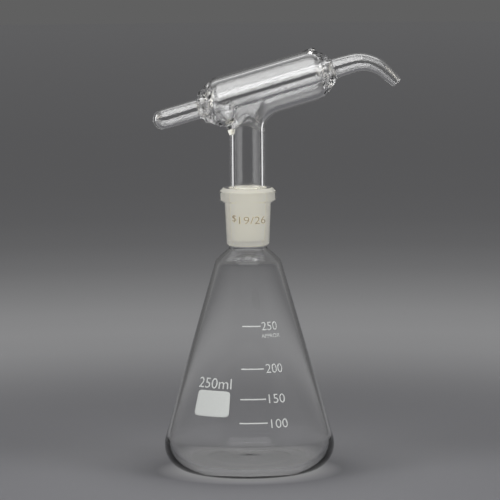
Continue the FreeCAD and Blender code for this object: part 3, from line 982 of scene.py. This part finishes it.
        # the space round the tube
        space = off_axis - self.jacket_bore
        space = soft_max(space, (-u - 18.9) * 0.76 + (off_axis - 7.0) * 0.65, 2.2)
        space = soft_max(space, (u - 40.0) * 0.72 + (off_axis - 7.0) * 0.69, 2.6)
        space = soft_max(space, -u - 19.3, 0.8)
        space = soft_max(space, u - 40.4, 0.8)
        space = space + self.waves(u, y, v, 3.0) * 1.3
        way_up = np.maximum(off_stem - self.stem_bore, z - self.height)
        space = soft_min(space, way_up, 2.0 + 6.5 * side)
        space = soft_max(space, -(off_axis - self.tube_radius), 1.6)

        # the filling arm, a cone drawn down from the tube to the wall
        share = np.clip((-v - 3.0) / 8.6, 0, 1)
        arm_u = -11.0 - 1.0 * share
        arm_round = np.sqrt((u - arm_u) ** 2 + y * y)
        arm = (arm_round - (5.4 - 3.5 * share)) * 0.92
        arm = np.maximum(arm, np.maximum(v + 2.0, -v - 11.4))
        space = soft_max(space, -arm, 1.0)
        arm_inside = (arm_round - (4.2 - 3.9 * share)) * 0.9
        arm_inside = soft_max(arm_inside, -v - 9.6, 0.5)
        arm_inside = np.maximum(arm_inside, v + 1.0)

        # the tube's bore, through to the spout's tip
        back = np.sqrt(np.maximum(-(u + self.tube_left - self.tube_bore - 1.7), 0) ** 2 + off_axis**2)
        bore = np.maximum(back - self.tube_bore, u - 47.0)
        bore = np.minimum(bore, self.spout(u, y, v, 1.08))
        bore = soft_min(bore, arm_inside, 0.8)
        round_hole = np.sqrt((u - self.hole_at) ** 2 + y * y)
        hole = np.maximum(round_hole - 1.5, np.abs(v - self.hole_up) - 1.6)
        lip = np.sqrt((round_hole - 2.2) ** 2 + (v - self.hole_up) ** 2) - 0.75
        space = soft_max(space, -lip, 0.5)
        vent = np.maximum(round_vent - 0.95, np.abs(v - 11.0) - 3.0)
        empty = soft_min(np.minimum(space, bore), np.minimum(hole, vent), 0.3)
        return soft_max(outer, -empty, 0.45)

    def value_and_slope(self, points: np.ndarray) -> Tuple[np.ndarray, np.ndarray]:
        """The field and its slope at points, by central differences."""
        e = 0.03
        slope = np.empty_like(points)
        for axis in range(3):
            ahead, behind = points.copy(), points.copy()
            ahead[:, axis] += e
            behind[:, axis] -= e
            slope[:, axis] = (self.distance(*ahead.T) - self.distance(*behind.T)) / (2 * e)
        return self.distance(*points.T), slope

    def settle(self, points: np.ndarray, rounds: int) -> np.ndarray:
        """Moves points down the field's slope on to its zero."""
        for _ in range(rounds):
            value, slope = self.value_and_slope(points)
            size = np.maximum((slope**2).sum(axis=1), 0.05)
            move = slope * (value / size)[:, None]
            far = np.linalg.norm(move, axis=1)
            move *= np.minimum(1, 0.25 / np.maximum(far, 1e-9))[:, None]
            points = points - move
        return points

    def surface(self) -> Tuple[np.ndarray, np.ndarray, np.ndarray]:
        """Nets the field's zero, evens the net out and settles it.

        Returns:
            Points in the CAD frame, faces, and a normal for each point.
        """
        low = np.array([-50.5, -15.0, -75.0])
        high = np.array([79.0, 15.0, 16.0])
        axes = [np.arange(lo, hi, self.step) for lo, hi in zip(low, high)]
        values = np.empty([len(a) for a in axes], np.float32)
        y, v = (g.astype(np.float64) for g in np.meshgrid(axes[1], axes[2], indexing="ij"))
        for first in range(0, len(axes[0]), 16):
            u = axes[0][first : first + 16][:, None, None] + 0 * y[None]
            values[first : first + 16] = self.distance(u, y[None] + 0 * u, v[None] + 0 * u)
        points, faces = surface_net(values, low, self.step)
        points = self.settle(points, 2)
        for _ in range(3):
            total = np.zeros_like(points)
            count = np.zeros(len(points))
            for k in range(4):
                np.add.at(total, faces[:, k], points[faces].mean(axis=1))
                np.add.at(count, faces[:, k], 1)
            points = self.settle(points * 0.4 + 0.6 * total / np.maximum(count, 1)[:, None], 2)
        _, slope = self.value_and_slope(points)
        slope /= np.maximum(np.linalg.norm(slope, axis=1), 1e-9)[:, None]
        origin = self.world(np.zeros((1, 3)))
        return self.world(points), faces, self.world(slope) - origin

    def build(self, clear: bpy.types.Material, ground: bpy.types.Material) -> bpy.types.Object:
        """Makes the head's glass.

        Args:
            clear: the worked glass.
            ground: the ground cone's material.

        Returns:
            The piece.
        """
        points, faces, normals = self.surface()
        middle = points[faces].mean(axis=1)
        out = np.hypot(middle[:, 0], middle[:, 1])
        low, high = self.frosted
        # on the cone's outside, clear of the bore
        outside = out > max(self.stem_radius - 1.2, self.stem_bore + 0.35)
        ground_zone = (middle[:, 2] > low) & (middle[:, 2] < high) & outside
        # the nub's broken end, in the head's own frame
        c, s = math.cos(math.radians(self.tilt)), math.sin(math.radians(self.tilt))
        u = middle[:, 0] * c + (middle[:, 2] - self.height) * s
        v = (middle[:, 2] - self.height) * c - middle[:, 0] * s
        at_nub = np.hypot(u - self.nub_at[0], middle[:, 1] - self.nub_at[1]) < 2.8
        ground_zone |= at_nub & (v < -14.2) & (v > -17.0)
        piece = make_piece("head_glass", points, faces, (clear, ground), ground_zone.astype(int), normals)
        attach(piece, Body.HEAD.value)
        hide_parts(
            "ground_cone",
            "stem_tube",
            "stem_collar",
            "jacket",
            "left_ring_seal",
            "right_ring_seal",
            "measuring_tube",
            "filling_arm",
            "support_nub",
            "vent_rim",
            "spout",
        )
        return piece


# --- the studio ----------------------------------------------------------------------


@dataclass(frozen=True)
class Panel:
    """A soft box: a rectangle of light that faces a point."""

    name: str
    place: Tuple[float, float, float]
    aim: Tuple[float, float, float]
    width: float
    height: float
    radiance: float
    tone: str = "FFFFFF"


@dataclass(frozen=True)
class Glow:
    """A soft ring of painted light on the paper."""

    level: float
    distance: float  # metres from the object
    width: float  # of the bell curve, in the distance's natural logarithm


@dataclass
class Studio:
    """Floor, surroundings, soft boxes and camera, in metres and degrees."""

    head_panels: Tuple[Panel, ...] = (
        Panel("front_top_box", (-0.04, -0.144, 0.423), (-0.04, 0.0, 0.188), 0.28, 0.365, 5.3),
        Panel("front_right_box", (0.215, -0.144, 0.423), (0.215, 0.0, 0.188), 0.23, 0.365, 2.4),
        Panel("left_card", (-0.40, -0.2535, 0.105), (0.0, -0.2535, 0.105), 0.447, 0.10, 0.9),
        Panel("right_card", (0.40, -0.2535, 0.105), (0.0, -0.2535, 0.105), 0.447, 0.10, 0.9),
        Panel("left_side_box", (-0.35, -0.10, 0.33), (0.0, 0.0, 0.19), 0.25, 0.20, 4.6, "FFFAEE"),
        Panel("right_side_box", (0.40, -0.10, 0.33), (0.02, 0.0, 0.20), 0.25, 0.20, 4.6, "FFFAEE"),
        Panel("left_rear_box", (-0.42, 0.40, 0.17), (0.0, 0.0, 0.17), 0.13, 0.24, 1.1),
        Panel("right_rear_box", (0.42, 0.40, 0.17), (0.0, 0.0, 0.17), 0.13, 0.24, 1.1),
    )
    panels: Tuple[Panel, ...] = (
        Panel("overhead_box", (-0.04, 0.1315, 0.458), (-0.04, 0.0, 0.188), 0.50, 0.195, 0.7),
        Panel("front_soft_box", (0.0, -0.30, 0.56), (0.0, 0.0, 0.05), 0.60, 0.34, 1.0),
    )
    fills: Tuple[Panel, ...] = (
        Panel("left_fill", (-0.5, -0.35, 0.25), (0.0, 0.0, 0.13), 0.3, 0.3, 9.6),
        Panel("right_fill", (0.5, -0.35, 0.25), (0.0, 0.0, 0.13), 0.3, 0.3, 9.6),
    )
    paper_level: float = 0.045
    # painted glows on the paper, given as emission
    painted_foot_glow: Glow = Glow(0.021, 0.09, 0.40)
    painted_back_glow: Glow = Glow(0.133, 0.55, 0.48)
    far_from: float = 1.9
    far_rise: float = 0.009  # for each metre
    # distance and painted light under the glass, and the painted shadow where the foot's rim meets the paper
    painted_foot_light_and_shadow: Tuple[Tuple[float, float], ...] = ((0.0, 0.21), (0.034, 0.21), (0.042, 0.03), (0.047, 0.03))
    side_glow: float = 1.0  # added to the air's level, at the sides and overhead
    sky_glow: float = 1.4
    camera_distance: float = 2.0
    camera_height: float = 0.331
    camera_pitch: float = 6.29
    camera_roll: float = -0.4
    camera_yaw: float = -0.027
    lens: float = 290.2

    def floor(self) -> bpy.types.Object:
        """Makes one round floor, with painted light and shade, that fades into the far background.

        The grid is rings whose spacing grows with distance from the middle.
        """
        radii = np.concatenate(([0.02], np.geomspace(0.05, 4.2, 60)))
        turn = np.linspace(0, 2 * np.pi, 96, endpoint=False)
        below = -0.0004
        grid = np.empty((len(radii), len(turn), 3))
        grid[..., 0] = radii[:, None] * np.cos(turn)
        grid[..., 1] = radii[:, None] * np.sin(turn)
        grid[..., 2] = below
        points = np.concatenate((grid.reshape(-1, 3), [[0, 0, below]]))
        rings = ring_faces(len(radii), len(turn), False)
        faces = np.concatenate((rings, fan_faces(0, len(turn), len(points) - 1, True)))
        floor = make_piece("studio_floor", points / MM, faces, (self.floor_material(),))
        return floor

    def painted_paper_light(self, distance: float) -> float:
        """How much light is painted on the paper at a distance from the object, in metres.

        An even level, plus a painted glow round the foot and a wider painted glow behind the
        object, each a bell curve of the distance's logarithm, plus a slow rise far away.
        """
        light = self.paper_level + self.far_rise * max(distance - self.far_from, 0)
        for glow in (self.painted_foot_glow, self.painted_back_glow):
            light += glow.level * math.exp(-((math.log(distance / glow.distance) / glow.width) ** 2))
        return light

    def floor_material(self) -> bpy.types.Material:
        """Grey paper with painted glows, painted light under the glass and a painted shadow where the foot
        meets it.
        """
        m = empty_material("studio_paper_painted_light")
        place = add_node(m, "ShaderNodeTexCoord").outputs["Object"]
        length = add_node(m, "ShaderNodeVectorMath", settings={"operation": "LENGTH"}, inputs={0: place})
        reach = 4.0
        share = add_node(
            m,
            "ShaderNodeMath",
            settings={"operation": "DIVIDE"},
            inputs={0: length.outputs["Value"], 1: reach},
        )
        # painted light and shade on the paper: emission from a ramp over the distance from the middle
        ramp = add_node(m, "ShaderNodeValToRGB", inputs={"Fac": share.outputs[0]})
        stops = list(self.painted_foot_light_and_shadow)
        stops += [(at, self.painted_paper_light(at)) for at in np.geomspace(0.062, reach, 26)]
        elements = ramp.color_ramp.elements
        for k, (at, light) in enumerate(stops):
            element = elements[k] if k < 2 else elements.new(at / reach)
            element.position = at / reach
            element.color = (light, light, light, 1.0)
        glow = add_node(m, "ShaderNodeEmission", inputs={"Color": ramp.outputs["Color"], "Strength": 1.0})
        paper = add_node(
            m, "ShaderNodeBsdfPrincipled", inputs={"Base Color": linear("66666A"), "Roughness": 0.9}
        )
        both = add_node(
            m, "ShaderNodeAddShader", inputs={0: glow.outputs["Emission"], 1: paper.outputs["BSDF"]}
        )
        return finish_material(m, both.outputs["Shader"])

    def world(self) -> None:
        """Sets plain grey surroundings that brighten smoothly to the sides and overhead."""
        world = bpy.data.worlds.new("studio_air")
        world.use_nodes = True
        world.node_tree.nodes.clear()
        place = add_node(world, "ShaderNodeTexCoord").outputs["Generated"]
        apart = add_node(world, "ShaderNodeSeparateXYZ", inputs={"Vector": place})
        level: object = 1.0
        for axis, begins, ends, gain in (("X", 0.5, 0.8, self.side_glow), ("Z", 0.3, 0.7, self.sky_glow)):
            size = add_node(
                world, "ShaderNodeMath", settings={"operation": "ABSOLUTE"}, inputs={0: apart.outputs[axis]}
            )
            rise = add_node(
                world,
                "ShaderNodeMapRange",
                settings={"interpolation_type": "SMOOTHSTEP"},
                inputs={
                    "Value": size.outputs["Value"],
                    "From Min": begins,
                    "From Max": ends,
                    "To Min": 0.0,
                    "To Max": gain,
                },
            )
            total = add_node(
                world,
                "ShaderNodeMath",
                settings={"operation": "ADD"},
                inputs={0: level, 1: rise.outputs["Result"]},
            )
            level = total.outputs["Value"]
        back = add_node(
            world, "ShaderNodeBackground", inputs={"Color": linear("606060"), "Strength": level}
        )
        add_node(world, "ShaderNodeOutputWorld", inputs={"Surface": back.outputs["Background"]})
        bpy.context.scene.world = world

    def lamp(self, panel: Panel, mirrored: bool) -> bpy.types.Object:
        """Hangs one soft box; its power gives the stated radiance over its area.

        Args:
            panel: the box.
            mirrored: whether glass shows it.

        Returns:
            The lamp.
        """
        light = bpy.data.lights.new(panel.name, "AREA")
        light.shape = "RECTANGLE"
        light.size = panel.width
        light.size_y = panel.height
        light.energy = math.pi * panel.width * panel.height * panel.radiance
        light.color = linear(panel.tone)[:3]
        lamp = bpy.data.objects.new(panel.name, light)
        lamp.location = panel.place
        towards = Vector(panel.aim) - Vector(panel.place)
        lamp.rotation_euler = towards.to_track_quat("-Z", "Y").to_euler()
        lamp.visible_camera = False
        lamp.visible_glossy = mirrored
        lamp.visible_transmission = mirrored
        bpy.context.scene.collection.objects.link(lamp)
        return lamp

    def camera(self) -> None:
        """Sets the camera in front of the flask, a little above it and looking down."""
        data = bpy.data.cameras.new("camera")
        data.lens = self.lens
        data.sensor_width = 36.0
        data.clip_start, data.clip_end = 0.05, 20.0
        camera = bpy.data.objects.new("camera", data)
        turn = (
            Matrix.Rotation(math.radians(self.camera_yaw), 4, "Z")
            @ Matrix.Rotation(math.radians(90 - self.camera_pitch), 4, "X")
            @ Matrix.Rotation(math.radians(self.camera_roll), 4, "Z")
        )
        camera.matrix_world = Matrix.Translation((0, -self.camera_distance, self.camera_height)) @ turn
        bpy.context.scene.collection.objects.link(camera)
        bpy.context.scene.camera = camera

    def build(self, head: bpy.types.Object) -> None:
        """Makes the whole studio.

        Args:
            head: the piece that the head's own soft boxes light.
        """
        bpy.context.scene.view_settings.view_transform = "Standard"
        self.world()
        self.floor()
        for panel in self.panels:
            self.lamp(panel, True)
        for panel in self.fills:
            self.lamp(panel, False)
        head_only = bpy.data.collections.new("lit_by_head_boxes")
        head_only.objects.link(head)
        for panel in self.head_panels:
            box = self.lamp(panel, True)
            box.light_linking.receiver_collection = head_only
            box.visible_diffuse = False
        self.camera()


def main() -> None:
    """Builds the studio and every piece, and reports them."""
    logging.basicConfig(level=logging.INFO, format="%(message)s")
    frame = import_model()
    clear = BlownBorosilicate().build()
    ground = GroundBorosilicate().build()
    white = FiredEnamel("ceramic_enamel_white_fired", "C9CBC9", "B9BCB9").build()
    tan = FiredEnamel("silver_stain_brown_fired", "A8967A", "8E7F66").build()

    flask = ConicalFlask()
    # the ground top edge carries a weaker painted glow
    edge = GroundBorosilicate("borosilicate_glass_ground_edge", milkiness=0.25, painted_glow_strength=0.2).build()
    pieces = [flask.build(clear, ground, edge)]
    pieces += EnamelPrints(flask).build(white, tan)
    pieces.append(MeasuringHead().build(clear, ground))
    Studio().build(pieces[-1])
    lines = frame["nodes"]["graduation_lines"]
    lines.data.materials.clear()
    lines.data.materials.append(white)
    for piece in pieces:
        LOG.info("%s: %d faces", piece.name, len(piece.data.polygons))


if __name__ == "__main__":
    main()
